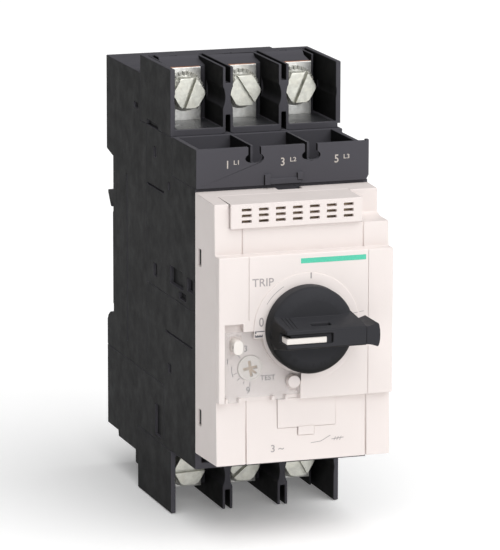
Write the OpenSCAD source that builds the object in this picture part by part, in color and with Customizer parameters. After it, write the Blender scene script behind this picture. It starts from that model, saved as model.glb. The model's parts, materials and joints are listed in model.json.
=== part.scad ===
// Three-pole motor protection breaker with a rotary handle, for a 35 mm rail.
// X is across the poles, +Z is up and +Y points back to the wall.
// The origin is the middle of the seat face that rests on the rail.
// Depths (d) run forward from the rear pads, heights (z) are the part's own Z.

/* [Body] */
// Width across the three poles
body_w = 55; // [54:0.5:56]
// Distance between neighbouring poles
pole_pitch = 18; // [17.8:0.1:18.2]
// Thickness of the moulded outer walls
wall = 2; // [1.6:0.1:2.2]
// Radius of the knob's round skirt
handle_r = 13.3; // [12.4:0.1:13.4]

/* [Rail] */
// Depth of the seat face in front of the rear pads
seat_d = 6.5; // [6:0.1:7]
// Height of the mounting rail
rail_w = 35; // [35:0.1:35.2]

/* [Terminals] */
// Height of the line screws
line_screw_z = 60.6; // [60:0.1:61]
// Height of the load screws
load_screw_z = -58.6; // [-59:0.1:-58]
// Thread radius of the terminal screws
screw_r = 3; // [2.5:0.1:3]

/* [Travel] */
// Stroke of the moving contacts
contact_gap = 5.9; // [5:0.1:6]

/* [Hidden] */
$fn = 48;
half_w = body_w / 2;
inner_w = half_w - wall;
poles = [-pole_pitch, 0, pole_pitch];
between_poles = [-pole_pitch / 2, pole_pitch / 2];
gap = 0.05;

// Depths of the main faces
floor_d = 7;
shroud_d = 36.7;
split_d = 43.5;
strap_d = 50;
low_split_d = 61;
bay_d = 68;
box_back_d = 69.8;
case_d = 92.7;
box_d = 93.8;
cover_d = 113;
plate_back_d = 112.8;
plate_d = 115.9;

// Heights of the main faces
bay_top_z = 70.1;
rear_top_z = 64.5;
shelf_z = 49.4;
box_z = 37.7;
cover_top_z = 36.8;
plate_top_z = 20.9;
seam_z = -0.3;
plate_bottom_z = -23.6;
base_seam_z = -29.7;
cover_bottom_z = -43.9;
load_seam_z = -49.1;
load_back_d = 33;
load_block_h = 18.3;
rear_bottom_z = -55.7;
leg_bottom_z = -69.1;

// Conductors, contacts and their plane
bar_w = 11;
arm_w = 8;
bar_t = 2;
contact_d = 20;
line_contact_z = 29;
load_contact_z = 7;
tip_t = 1;
flat_washer_d = [52, 52.8];
flat_washer_r = 6.2;
spring_washer_d = [52.8, 54];
carrier_z = (line_contact_z + load_contact_z) / 2;
bridge_d = contact_d + 2 * tip_t + contact_gap + 0.1;

// Screws into the wall, through the case between the poles
fixing_z = 46.4;
fixing_boss_r = 3.4;
fixing_r = 1.7;
driver_r = 2.85;

// Long screws that clamp the case halves, in posts along the side walls
case_screw_r = 1.3;
case_post_r = 2.1;

// Snap slots in the front cover's sides
snap_d = [95.6, 98.6];
snap_z = [[15, 20.2], [-34.2, -29.2]];

// Handle, dial, window and test button on the front
handle_z = -1.6;
shaft_r = 4;
shaft_stem_r = 3;
collar_r = 14.2;
mark_area = [[-16.7, -12], [-4.2, 1]];
ring_disc_r = 16.6;
dial_x = -17;
dial_z = -13.5;
dial_r = 3.9;
test_x = -4;
test_z = -18;
test_front_d = 116.6;
test_r = 1.9;
test_flange_r = 2.6;
test_flange_d = [108.2, 112.7];
test_seat_d = 104;
window_x = [-25.5, -1.9];
window_z = [-22.9, -2];
window_d = [114.5, 115.8];
hinge_z = -22.9;
hinge_r = 0.65;
hinge_tabs = [-22.9, -8.2];
pin_r = 0.35;
post_x = [-23.5, -20.6];
post_z = [-8.3, -3.9];

// Vented cover over the slot for an add-on contact block
aux_x = [-22.8, 18.5];
aux_z = [28.9, 36.3];
aux_back_d = 100;

// Trip bar, coils and bimetals
trip_bar_d = 76;
trip_bar_z = -14;
trip_bar_r = 2;
coil_z = -19;
bimetal_d = [71.6, 72.6];

// Rocker that moves the contact carrier
rocker_d = 64;
rocker_z = 4;
rocker_tilt = 12;
rocker_len = contact_gap / 2 / sin(rocker_tilt);
rocker_pin_r = 1.4;

// Latch lever between the trip bar and the frame
latch_d = 75;
latch_z = 8;
latch_r = 1.6;

// Spring clip on the rail
clip_top_z = -15.4;
clip_spring_z = [-52.9, -37];

black = [0.16, 0.16, 0.17];
cream = [0.91, 0.88, 0.85];
steel = [0.78, 0.78, 0.76];
copper = [0.72, 0.45, 0.3];
brass = [0.75, 0.66, 0.4];
clear = [0.9, 0.9, 0.88, 0.4];
white = [0.93, 0.92, 0.92];

function y_at(d) = seat_d - d;

// Box between two widths, two depths and two heights.
module slab(x, d, z) {
    translate([x[0], y_at(d[1]), z[0]])
        cube([x[1] - x[0], d[1] - d[0], z[1] - z[0]]);
}

// Round bar that runs forward between two depths.
module bar(x, z, d, r) {
    translate([x, y_at(d[0]), z])
        rotate([90, 0, 0])
            cylinder(r = r, h = d[1] - d[0]);
}

// Round bar that runs across between two widths.
module cross_bar(x, d, z, r) {
    translate([x[0], y_at(d), z])
        rotate([0, 90, 0])
            cylinder(r = r, h = x[1] - x[0]);
}

// Side outline of [depth, height] points, as wide as x.
module side(x, points) {
    translate([x[1], y_at(0), 0])
        rotate([90, 0, -90])
            linear_extrude(x[1] - x[0]) polygon(points);
}

// Flat outline in X and Z, as deep as d.
module front(d) {
    translate([0, y_at(d[0]), 0])
        rotate([90, 0, 0])
            linear_extrude(d[1] - d[0]) children();
}

module rect(x, z) {
    translate([x[0], z[0]]) square([x[1] - x[0], z[1] - z[0]]);
}

module at_poles() {
    for (x = poles) translate([x, 0, 0]) children();
}

// Both sides of the middle plane.
module both_sides() {
    children();
    mirror([1, 0, 0]) children();
}

// Wire of radius wire wound along Z from 0 to height h at radius r.
module coil(r, wire, turns, h, sides = 6, steps = 8) {
    n = turns * steps;
    rise = (h - 2 * wire) / n;
    points = [
        for (i = [0 : n], k = [0 : sides - 1])
            let (turn = 360 * i / steps, around = 360 * k / sides)
            let (out = r + wire * cos(around))
            [out * cos(turn), out * sin(turn),
             wire + rise * i + wire * sin(around)]
    ];
    first = [for (k = [0 : sides - 1]) k];
    last = [for (k = [sides - 1 : -1 : 0]) n * sides + k];
    walls = [
        for (i = [0 : n - 1], k = [0 : sides - 1], half = [0, 1])
            let (next = (k + 1) % sides, here = i * sides, ahead = (i + 1) * sides)
            half == 0 ? [here + k, ahead + k, ahead + next] : [here + k, ahead + next, here + next]
    ];
    polyhedron(points, concat([first, last], walls), convexity = 6);
}

// Coil that stands forward from depth d[0] to d[1].
module forward_coil(x, z, d, r, wire, turns) {
    translate([x, y_at(d[0]), z])
        rotate([90, 0, 0])
            coil(r, wire, turns, d[1] - d[0]);
}

// Chambers of the three poles between two depths and two heights.
module chambers(d, z) {
    web = 1;
    slab([-inner_w, -pole_pitch / 2 - web], d, z);
    slab([-pole_pitch / 2 + web, pole_pitch / 2 - web], d, z);
    slab([pole_pitch / 2 + web, inner_w], d, z);
}

/* ---- Moulded case ---- */

// Hook over the top edge of the rail.
module rail_hook(x) {
    lip = 1.3;
    side(x, [
        [floor_d + 0.5, rail_w / 2 + 0.2], [5.2, rail_w / 2 + 0.2],
        [5.2, rail_w / 2 - lip], [4.4, rail_w / 2 - lip],
        [1.3, 20.2], [1.3, 21.2], [floor_d + 0.5, 22.2]
    ]);
}

module rear_base() {
    pad_z = 15;
    color(black) {
        difference() {
            side([-half_w, half_w], [
                [0, base_seam_z], [0, -21.3], [1.2, -19.6], [3, -18.5],
                [5, -18], [floor_d, -17.8], [floor_d, 33.1], [6, 33.1],
                [0, 34.4], [0, rear_top_z], [shroud_d, rear_top_z],
                [shroud_d, shelf_z], [split_d, shelf_z],
                [split_d, base_seam_z]
            ]);
            chambers([9, split_d + 1], [base_seam_z + wall, shelf_z - wall]);
            chambers([wall, shroud_d + 1], [36.4, rear_top_z - wall]);
            carrier_window([25, split_d + 1]);
            clip_channel([base_seam_z - 1, -17]);
            for (x = between_poles) {
                bar(x, fixing_z, [-1, split_d + 1], fixing_r);
            }
            side_details_rear();
        }
        difference() {
            for (x = between_poles) bar(x, fixing_z, [1, split_d], fixing_boss_r);
            for (x = between_poles) {
                bar(x, fixing_z, [-1, 4], fixing_r);
                bar(x, fixing_z, [3, split_d + 1], driver_r);
            }
        }
        difference() {
            at_case_screws([30, split_d], case_post_r);
            at_case_screws([31, split_d + 1], case_screw_r + gap);
        }
        slab([-half_w, half_w], [seat_d, floor_d + 0.5], [-pad_z, pad_z]);
        both_sides() rail_hook([15.5, half_w]);
    }
}

// Shallow slots moulded into both outer sides of the rear base.
module side_details_rear() {
    both_sides() {
        slab([half_w - 0.8, half_w + 1], [30.2, 34.5], [52.6, 54.4]);
        slab([half_w - 0.6, half_w + 1], [22, 22.6], [-24, 30]);
    }
}

// Opening in the pole walls for the contact carrier's cross bar.
module carrier_window(d) {
    slab([-inner_w, inner_w], d, [carrier_z - 5, carrier_z + 5]);
}

// Stepped channel in the rear face that guides the rail clip.
module clip_channel(z) {
    slab([-7.5, 7.5], [-1, 3], z);
    slab([-9.3, 9.3], [2.2, 5.4], z);
}

module load_base() {
    color(black)
    difference() {
        side([-half_w, half_w], [
            [0, base_seam_z], [low_split_d, base_seam_z],
            [low_split_d, load_seam_z], [33, load_seam_z],
            [33, -61.8], [30.5, -61.8], [30.5, -57.6], [12, -57.6],
            [11.5, rear_bottom_z], [0, rear_bottom_z]
        ]);
        chambers([13, 31], [rear_bottom_z + 0.5, -33]);
        chambers([30, low_split_d + 1], [load_seam_z + wall, -33]);
        slab([-inner_w, inner_w], [45, low_split_d + 1],
             [load_seam_z + wall, base_seam_z + 1]);
        clip_channel([rear_bottom_z - 1, base_seam_z + 1]);
        slab([-2.6, 2.6], [5, 10.4], [clip_spring_z[0] - 0.1, clip_spring_z[1] + 3]);
        at_poles() {
            slab([-bar_w / 2 - 0.2, bar_w / 2 + 0.2],
                 [strap_d - 0.2, strap_d + bar_t + 0.2],
                 [load_seam_z - 1, load_seam_z + wall + 1]);
        }
        both_sides()
            slab([half_w - 0.8, half_w + 1], [52, 57.8], [-47.4, -37.5]);
    }
}

module contact_case() {
    web = 0.9;
    step_z = box_z - wall;
    color(black) {
        difference() {
            side([-half_w, half_w], [
                [split_d, seam_z], [split_d, shelf_z], [box_back_d, shelf_z],
                [box_back_d, box_z], [case_d, box_z], [case_d, seam_z]
            ]);
            slab([-inner_w, inner_w], [split_d - 1, box_back_d - wall],
                 [seam_z - 1, shelf_z - wall]);
            slab([-inner_w, inner_w], [split_d, case_d + 1],
                 [seam_z - 1, step_z]);
            conductor_slots([shelf_z - wall - 1, shelf_z + 1]);
            for (x = between_poles) {
                bar(x, fixing_z, [box_back_d - wall - 1, box_d], driver_r);
            }
            side_details_case();
        }
        difference() {
            for (x = between_poles) {
                slab([x - web, x + web], [split_d, 58],
                     [seam_z, shelf_z - 1]);
                bar(x, fixing_z, [split_d, bay_d], fixing_boss_r);
            }
            for (x = between_poles) {
                bar(x, fixing_z, [split_d - 1, box_d], driver_r);
            }
        }
        difference() {
            slab([-inner_w - 0.5, inner_w + 0.5], [58, 60], [seam_z, box_z - 1]);
            slab([-5, 5], [57, 61], [carrier_z - 4, carrier_z + 4]);
            at_case_screws([57, 61], case_screw_r + gap);
        }
        difference() {
            at_case_screws([split_d, 58.5], case_post_r);
            at_case_screws([split_d - 1, 61], case_screw_r + gap);
        }
        cover_latch(snap_z[0]);
    }
}

// Springy tongue inside the cover's side wall, with a nose in its slot.
module cover_latch(z) {
    both_sides() {
        slab([inner_w - 1.2, inner_w - 0.1], [case_d - 4, snap_d[1]], [z[0], z[1]]);
        slab([inner_w - 0.5, inner_w + 1.2], [case_d - 4, case_d], [z[0], z[1]]);
        slab([inner_w - 0.5, half_w - 0.5], [snap_d[0] + 0.2, snap_d[1] - 0.2],
             [z[0] + 0.3, z[1] - 0.3]);
    }
}

// Slots, steps and shallow pockets on both outer sides of the middle case.
module side_details_case() {
    both_sides() {
        slab([half_w - 1.2, half_w + 1], [67.5, 80.7], [4, 9.5]);
        slab([half_w - 1.2, half_w + 1], [84.7, 90.5], [5, 9]);
        slab([half_w - 1, half_w + 1], [76.6, 83.5], [1, 3]);
        slab([half_w - 0.8, half_w + 1], [50.5, 54], [3, 7]);
        slab([half_w - 0.8, half_w + 1], [44, 61], [30.6, 31.2]);
        slab([half_w - 0.8, half_w + 1], [65.6, 67.6], [32.6, 35]);
        slab([half_w - 0.8, half_w + 1], [51, 53.3], [40.4, 43.6]);
    }
}

module conductor_slots(z) {
    at_poles() slab([-bar_w / 2 - 0.2, bar_w / 2 + 0.2],
                    [strap_d - 0.2, strap_d + bar_t + 0.2], z);
}

// Four places along the side walls where long screws clamp the case.
module at_case_screws(d, r) {
    for (x = [-23.5, 23.5], z = [12, 24]) bar(x, z, d, r);
}

module trip_case() {
    web = 0.9;
    color(black) {
        difference() {
            side([-half_w, half_w], [
                [split_d, seam_z], [case_d, seam_z], [case_d, load_seam_z],
                [low_split_d, load_seam_z], [low_split_d, base_seam_z],
                [split_d, base_seam_z]
            ]);
            slab([-inner_w, inner_w], [split_d - 1, case_d + 1],
                 [base_seam_z + wall, seam_z + 1]);
            slab([-inner_w, inner_w], [low_split_d - 1, case_d + 1],
                 [load_seam_z + wall, base_seam_z + wall + 1]);
            slab([-inner_w, inner_w], [45, low_split_d + 1],
                 [base_seam_z - 1, base_seam_z + wall + 1]);
            both_sides() {
                slab([half_w - 0.8, half_w + 1], [65.3, 68.3], [-24.6, -21.8]);
                slab([half_w - 0.6, half_w + 1], [63, 90], [-12.3, -11.7]);
            }
        }
        for (x = between_poles) {
            difference() {
                slab([x - web, x + web], [62, 79], [load_seam_z + 1, seam_z]);
                cross_bar([x - 2, x + 2], trip_bar_d, trip_bar_z, trip_bar_r + gap);
            }
        }
        cover_latch(snap_z[1]);
    }
}

/* ---- Terminal shrouds ---- */

// Tray of three open bays on a floor at z = 0, built upwards, with a block behind the straps.
module terminal_bays(height, screw_h, back_d, block_h) {
    thin = 1.6;
    double_w = 3.3;
    slot_w = 1.5;
    d = [back_d, bay_d];
    difference() {
        union() {
            slab([-half_w, half_w], d, [0, wall]);
            slab([-half_w, half_w], [back_d, back_d + wall], [0, height]);
            both_sides() {
                slab([half_w - thin, half_w], d, [0, height]);
                slab([half_w - 3.2, half_w - 2.5], [back_d + 1, 49.5],
                     [1, height - 0.4]);
            }
            for (x = between_poles) {
                slab([x - double_w / 2, x + double_w / 2], d, [0, height]);
            }
            side([-23.6, 23.6], [
                [back_d + 1, 1], [back_d + 1, block_h], [back_d + 6.5, block_h],
                [back_d + 8, block_h - 1.3], [strap_d, block_h - 2.2], [strap_d, 1]
            ]);
        }
        for (x = between_poles) {
            slab([x - slot_w / 2, x + slot_w / 2], [back_d + 3, bay_d + 1],
                 [screw_h + 4.4, height + 1]);
            slab([x - slot_w / 2, x + slot_w / 2], [back_d + 3, bay_d + 1],
                 [-1, screw_h - 5.4]);
        }
        at_poles() {
            bar(0, screw_h, [strap_d + 1, bay_d + 1], 8.1);
            bar(0, screw_h, [39, strap_d + 1], screw_r + 0.3);
            slab([-5.2, 5.2], [45, strap_d + 1], [screw_h - 5.2, screw_h + 5.2]);
        }
    }
}

module line_terminal_shroud() {
    color(black)
    difference() {
        translate([0, 0, shelf_z])
            terminal_bays(bay_top_z - shelf_z, line_screw_z - shelf_z, shroud_d,
                          bay_top_z - shelf_z);
        conductor_slots([shelf_z - 1, shelf_z + wall + 1]);
        both_sides() {
            slab([half_w - 0.8, half_w + 1], [44, 55.4], [shelf_z - 1, shelf_z + 1.6]);
        }
        slab([half_w - 0.9, half_w + 1], [55, bay_d + 1], [shelf_z - 1, shelf_z + 1.4]);
        at_poles() slab([-1.7, 0.7], [41, 42.6], [bay_top_z - 2.5, bay_top_z + 1]);
        for (x = between_poles) {
            bar(x, fixing_z, [shroud_d - 1, bay_d + 1], fixing_boss_r + gap);
        }
    }
}

module load_terminal_shroud() {
    color(black)
    difference() {
        translate([0, 0, load_seam_z])
            mirror([0, 0, 1])
                terminal_bays(load_seam_z - leg_bottom_z, load_seam_z - load_screw_z,
                              load_back_d, load_block_h);
        at_poles() {
            slab([-bar_w / 2 - 0.2, bar_w / 2 + 0.2],
                 [strap_d - 0.2, strap_d + bar_t + 0.2],
                 [load_seam_z - wall - 1, load_seam_z + 1]);
        }
    }
}

// Open-topped trays in front of the line terminals, for their labels.
module label_box() {
    thin = 1.5;
    rib = 0.8;
    right_x = 24.7;
    box_top_z = shelf_z + 0.3;
    color(black)
    difference() {
        union() {
            slab([-half_w, half_w], [box_back_d, box_d], [box_z, box_z + thin]);
            slab([-half_w, half_w], [box_d - thin, box_d], [box_z, box_top_z]);
            slab([-half_w, right_x], [box_back_d, box_back_d + thin], [box_z, box_top_z]);
            slab([-half_w, thin - half_w], [box_back_d, box_d], [box_z, box_top_z]);
            slab([right_x - thin, right_x], [box_back_d, box_d], [box_z, box_top_z]);
            slab([half_w - 1, half_w], [box_d - thin, box_d], [box_z, box_top_z + 0.4]);
            for (x = between_poles) {
                slab([x - rib / 2, x + rib / 2], [box_back_d, box_d],
                     [box_z, box_top_z]);
            }
            latch_bracket();
        }
        for (x = between_poles) {
            front([box_d - thin - 1.5, box_d + 1])
                translate([x, 0]) driver_notch(box_top_z + 1);
        }
        front([box_back_d - 1, box_d + 1])
            polygon([[half_w - 1.2, box_z - 0.5], [half_w + 0.5, box_z - 0.5],
                     [half_w + 0.5, box_z + 2.3]]);
    }
}

// Notch for a driver blade: a slot that widens into a flat oval at its foot.
module driver_notch(top_z) {
    foot_z = fixing_z - 0.2;
    slot_w = 4;
    foot_w = 5.9;
    foot_h = 3.1;
    rect([-slot_w / 2, slot_w / 2], [foot_z, top_z]);
    translate([0, foot_z]) scale([1, foot_h / foot_w]) circle(foot_w / 2);
}

// Snap latch at the middle of the label box, over the cover's edge.
module latch_bracket() {
    slab([-6, -4.2], [box_d - 1, box_d + 0.9], [box_z + 0.2, box_z + 3.4]);
    slab([-4.4, 5.8], [box_d - 1, box_d + 0.6], [box_z + 0.3, box_z + 2]);
    slab([4.4, 6.2], [box_d - 1, box_d + 0.9], [box_z + 1.4, box_z + 3.6]);
}

/* ---- Front ---- */

module front_cover() {
    shell = 1.6;
    recess_d = 101.6;
    color(cream) test_guide();
    color(cream)
    difference() {
        side([-half_w, half_w], [
            [case_d, cover_bottom_z], [case_d, cover_top_z],
            [111.3, 36.2], [111.9, plate_top_z], [plate_back_d, plate_top_z],
            [plate_back_d, plate_bottom_z], [113.1, plate_bottom_z],
            [113.7, -43.2]
        ]);
        side([-half_w + shell, half_w - shell], [
            [case_d - 1, cover_bottom_z + shell], [case_d - 1, cover_top_z - shell],
            [98.4, cover_top_z - shell], [98.4, 27.2], [110, 27.2],
            [110.4, plate_top_z], [plate_back_d - shell, plate_top_z - 1],
            [plate_back_d - shell, plate_bottom_z], [111.9, -42.3]
        ]);
        slab([aux_x[0] - gap, aux_x[1] + 0.1], [aux_back_d, plate_d],
             [aux_z[0] - gap, cover_top_z + 1]);
        slab([aux_x[0] - 0.4, aux_x[0]], [cover_d - 1.5, plate_d], [aux_z[0], aux_z[1]]);
        side([aux_x[1] + 0.1, half_w + 1], [
            [recess_d, cover_top_z + 1], [recess_d, aux_z[0] + 0.4],
            [104.5, aux_z[0] - 0.4], [plate_d, aux_z[0] - 0.6],
            [plate_d, cover_top_z + 1]
        ]);
        front([cover_d - 3, cover_d + 3]) {
            translate([0, handle_z]) circle(7);
            translate([dial_x, dial_z]) circle(dial_r + 1.5);
            translate([test_x, test_z]) circle(test_flange_r + 0.1);
        }
        slab([-8.3, 10.3], [112.3, plate_d], [-32.8, plate_bottom_z]);
        slab([-1.8, 3.4], [112.3, plate_d], [-35.3, -32]);
        both_sides() {
            for (z = snap_z) slab([half_w - 3, half_w + 1], snap_d, z);
        }
        slab([-2.2, 5.5], [case_d - 1, 96], [cover_top_z - 1, cover_top_z + 1]);
        for (x = [-18.2, 19.9]) {
            slab([x - 0.25, x + 0.25], [112.8, plate_d], [cover_bottom_z - 1, plate_bottom_z]);
        }
        for (x = [-18.9, 19.3]) {
            slab([x - 0.25, x + 0.25], [111.3, plate_d], [plate_top_z, aux_z[0]]);
        }
    }
}

// Area of the dial window's pocket: a corner of the plate, less the knob's collar
// and the part that carries the padlock mark.
module window_area(inset) {
    difference() {
        union() {
            rect([window_x[0] - inset, window_x[1] + inset],
                 [plate_bottom_z - 1, window_z[1] + inset]);
            rect([window_x[0] - inset, -19.8], [-3, 0.4 + inset]);
        }
        translate([0, handle_z]) circle(collar_r - inset);
        rect([mark_area[0][0] + inset, mark_area[0][1]], [mark_area[1][0] + inset, mark_area[1][1]]);
    }
}

module control_fascia() {
    pocket_d = 113.6;
    ring_t = 0.35;
    lug_w = 0.8;
    color(cream) {
        difference() {
            union() {
                slab([-half_w, half_w], [plate_back_d, plate_d],
                     [plate_bottom_z, plate_top_z]);
                bar(0, handle_z, [plate_d - 1, plate_d + ring_t], ring_disc_r);
            }
            front([pocket_d, plate_d + 2]) window_area(0.15);
            bar(0, handle_z, [plate_back_d - 1, plate_d + 2], shaft_r + 0.3);
            bar(dial_x, dial_z, [plate_back_d - 1, plate_d], dial_r + 0.1);
            bar(test_x, test_z, [plate_back_d - 1, plate_d + 1], test_r + 0.1);
            for (x = [-18.1, 19.6]) {
                slab([x - 0.2, x + 0.2], [plate_d - 0.3, plate_d + 2],
                     [plate_bottom_z - 1, plate_top_z + 1]);
            }
        }
        for (x = hinge_tabs) {
            difference() {
                for (s = [-1, 1]) {
                    slab([x + s * 2.1 - lug_w / 2, x + s * 2.1 + lug_w / 2],
                         [pocket_d - 0.3, 115.7], [plate_bottom_z, hinge_z + 0.7]);
                }
                cross_bar([x - 3, x + 3], hinge_d(), hinge_z, pin_r + 0.06);
            }
        }
    }
}

function hinge_d() = (window_d[0] + window_d[1]) / 2;

module aux_slot_cover() {
    columns = 7;
    rows = 3;
    first_x = aux_x[0] + 3.4;
    step_x = 5.35;
    vent_w = 3.1;
    vent_h = 0.85;
    color(cream)
    difference() {
        side(aux_x, [
            [aux_back_d, aux_z[0]], [aux_back_d, cover_top_z - 0.3],
            [112.6, aux_z[1]], [cover_d, aux_z[1] - 0.4], [cover_d, aux_z[0]]
        ]);
        slab([aux_x[0] + 1.3, aux_x[1] - 1.3], [aux_back_d - 1, cover_d - 1.5],
             [aux_z[0] + 1.2, aux_z[1] - 1.2]);
        for (i = [0 : columns - 1], k = [0 : rows - 1]) {
            slab([first_x + i * step_x, first_x + i * step_x + vent_w],
                 [cover_d - 2, cover_d + 1],
                 [aux_z[0] + 1.6 + k * 1.75, aux_z[0] + 1.6 + k * 1.75 + vent_h]);
        }
        front([aux_back_d + 6, cover_d + 1])
            polygon([[aux_x[1] - 3.4, aux_z[1] + 2], [aux_x[1] + 1, aux_z[1] - 0.6],
                     [aux_x[1] + 1, aux_z[1] + 2]]);
    }
}

module marker_plate() {
    color(cream) {
        slab([-8.2, 10.2], [112.3, 113.6], [-32.7, plate_bottom_z - 0.1]);
        slab([-1.7, 3.3], [112.3, 113.9], [-35.2, -32.6]);
    }
}

module dial_window() {
    color(clear) {
        difference() {
            front(window_d) {
                difference() {
                    union() {
                        rect(window_x, [hinge_z + 0.9, window_z[1]]);
                        for (x = hinge_tabs) rect([x - 1.5, x + 1.5], [hinge_z, -20]);
                    }
                    translate([0, handle_z]) circle(collar_r);
                    rect(mark_area[0], mark_area[1]);
                    translate([test_x, test_z]) circle(test_r + 0.3);
                    rect([test_x - 1.3, test_x + 1.3], [test_z - 3, test_z]);
                    rect([post_x[0] - 0.4, post_x[1] + 0.4],
                         [post_z[0] - 0.5, post_z[1] + 0.8]);
                }
            }
        }
        for (x = hinge_tabs) {
            cross_bar([x - 1.5, x + 1.5], hinge_d(), hinge_z, hinge_r);
            cross_bar([x - 2.3, x + 2.3], hinge_d(), hinge_z, pin_r);
        }
    }
}

module seal_post() {
    hole_z = (post_z[0] + post_z[1]) / 2;
    mid_x = (post_x[0] + post_x[1]) / 2;
    half = (post_x[1] - post_x[0]) / 2;
    color(white)
    difference() {
        front([113.6, 118]) {
            rect(post_x, [post_z[0] + half, post_z[1] - half]);
            translate([mid_x, post_z[0] + half]) circle(half);
            translate([mid_x, post_z[1] - half]) circle(half);
        }
        cross_bar([post_x[0] - 1, post_x[1] + 1], 116.9, hole_z, 0.75);
    }
}

module current_dial() {
    slot = 0.8;
    color(white)
    difference() {
        union() {
            bar(dial_x, dial_z, [111, 114.2], dial_r);
            bar(dial_x, dial_z, [111, 112.6], dial_r + 0.9);
            bar(dial_x, dial_z, [108.4, 111.2], 1.5);
        }
        for (a = [0, 90]) {
            translate([dial_x, y_at(114.5), dial_z])
                rotate([90, a, 0])
                    translate([-slot / 2, -2.4, -1.3]) cube([slot, 4.8, 2]);
        }
    }
}

// Eccentric on the dial's stem that shifts the trip point.
module dial_cam() {
    color(brass)
    difference() {
        translate([1.2, 0, 0]) bar(dial_x, dial_z, [108.6, 110.8], 4.2);
        bar(dial_x, dial_z, [108, 111.5], 1.5);
    }
}

/* ---- Handle ---- */

// Handle as it lies at 0: grip across, its index end towards -X.
module rotary_handle() {
    grip_h = 2.9;
    grip_top_d = 132.6;
    color(black)
    difference() {
        union() {
            translate([0, y_at(116.6), handle_z]) rotate([90, 0, 0]) {
                cylinder(r = handle_r, h = 4);
                translate([0, 0, 4]) handle_dome();
            }
            intersection() {
                hull() {
                    slab([-13, 12.2], [118, 119], [handle_z - 5.4, handle_z + 5.4]);
                    slab([-11.9, 13.4], [129.6, grip_top_d - 0.4],
                         [handle_z - grip_h, handle_z + grip_h]);
                    slab([-11.3, 13], [130, grip_top_d],
                         [handle_z - grip_h + 0.4, handle_z + grip_h - 0.4]);
                }
                union() {
                    bar(0, handle_z, [117, 134], handle_r - 0.3);
                    slab([0, 14], [117, 134], [handle_z - 6, handle_z + 6]);
                }
            }
        }
        handle_slot();
        tongue_slot(gap);
        bar(0, handle_z, [115, 126], shaft_stem_r + 0.02);
        slab([-3, 3], [127.4, 129.6], [handle_z + 2.2, handle_z + 6]);
    }
}

// Domed top of the knob's skirt.
module handle_dome() {
    rise = 2.6;
    rotate_extrude()
        polygon([[0, 0], [handle_r, 0], [handle_r - 0.5, 1],
                 [handle_r - 1.8, 1.9], [handle_r - 4, rise], [0, rise]]);
}

// Recess for the white pointer in the grip's front and index end.
module handle_slot() {
    half_h = 1.5;
    slab([-11.2, 2.6], [131.4, 134], [handle_z - half_h, handle_z + half_h]);
    slab([-14, -10.4], [127.4, 134], [handle_z - half_h, handle_z + half_h]);
}

module handle_pointer() {
    z = [handle_z - 1.35, handle_z + 0.45];
    color(white) {
        slab([-10.45, 0.8], [131.4, 132.2], z);
        slab([-11.7, -10.4], [127.4, 132.2], z);
    }
}

// Guide in the grip for the padlock tongue.
module tongue_slot(clearance) {
    slab([4.4, 15], [123.4 - clearance, 127.4 + clearance],
         [handle_z - 1.6 - clearance, handle_z + 1.6 + clearance]);
    slab([13.2 - clearance, 19], [120.6, 134], [handle_z - 6, handle_z + 6]);
}

// Tongue that pulls out of the grip and takes a padlock's shackle.
module padlock_tongue() {
    flare = [13.2, 17.6];
    color(black)
    difference() {
        union() {
            slab([4.8, flare[0] + 0.2], [123.4, 127.4], [handle_z - 1.6, handle_z + 1.6]);
            front([121, 132.4]) tongue_head(flare);
        }
        translate([8.6, y_at(125.4), handle_z - 3]) cylinder(r = 1.6, h = 6);
    }
}

// Outline of the tongue's head: a neck that flares in an arc to a rounded end.
module tongue_head(flare) {
    neck_h = 2.75;
    end_h = 3.6;
    bulge = 0.9;
    steps = 8;
    length = flare[1] - flare[0] - bulge;
    upper = [
        for (i = [0 : steps])
            let (part = i / steps)
            [flare[0] + length * part,
             neck_h + (end_h - neck_h) * (1 - cos(90 * part))]
    ];
    end = [
        for (i = [1 : steps - 1])
            let (turn = 90 - 180 * i / steps)
            [flare[1] - bulge + bulge * cos(turn), end_h * sin(turn)]
    ];
    lower = [for (i = [steps : -1 : 0]) [upper[i][0], -upper[i][1]]];
    translate([0, handle_z]) polygon(concat(upper, end, lower));
}

module handle_shaft() {
    color(steel) {
        bar(0, handle_z, [79, 120], shaft_stem_r);
        bar(0, handle_z, [84, 91.5], shaft_r);
    }
}

/* ---- Test ---- */

module test_button() {
    color(cream) {
        bar(test_x, test_z, [100.5, test_front_d], test_r);
        bar(test_x, test_z, test_flange_d, test_flange_r);
    }
}

// Guide moulded inside the cover, with the spring's seat at its back.
module test_guide() {
    difference() {
        bar(test_x, test_z, [test_seat_d - 1, 111.5], test_flange_r + 1.2);
        bar(test_x, test_z, [test_seat_d, cover_d], test_flange_r + 0.1);
        bar(test_x, test_z, [test_seat_d - 2, cover_d], test_r + 0.1);
    }
}

module test_spring() {
    color(steel) forward_coil(test_x, test_z, [test_seat_d, test_flange_d[0]], 2.3, 0.2, 4);
}

// Strip behind the button that reaches up to the trip bar.
module test_lever() {
    x = [test_x - 1, test_x + 1];
    push_z = [-8.2, -7];
    color(steel) {
        slab(x, [99.3, 100.5], [test_z - 1.5, push_z[1]]);
        slab(x, [trip_bar_d + 1.2, 99.4], push_z);
    }
}

/* ---- Rail clip ---- */

module rail_clip() {
    color(black) {
        slab([-7.3, 7.3], [0.8, 2.4], [rear_bottom_z - 0.5, -21]);
        slab([-9, 9], [2.4, 5.2], [rear_bottom_z - 0.5, -18.1]);
        side([-9, 9], [
            [3, -18.2], [5.2, -18.2], [5.2, clip_top_z], [4.4, clip_top_z]
        ]);
        slab([-2.2, 2.2], [5, 9.6], [clip_spring_z[1], clip_spring_z[1] + 1.6]);
    }
}

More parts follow.
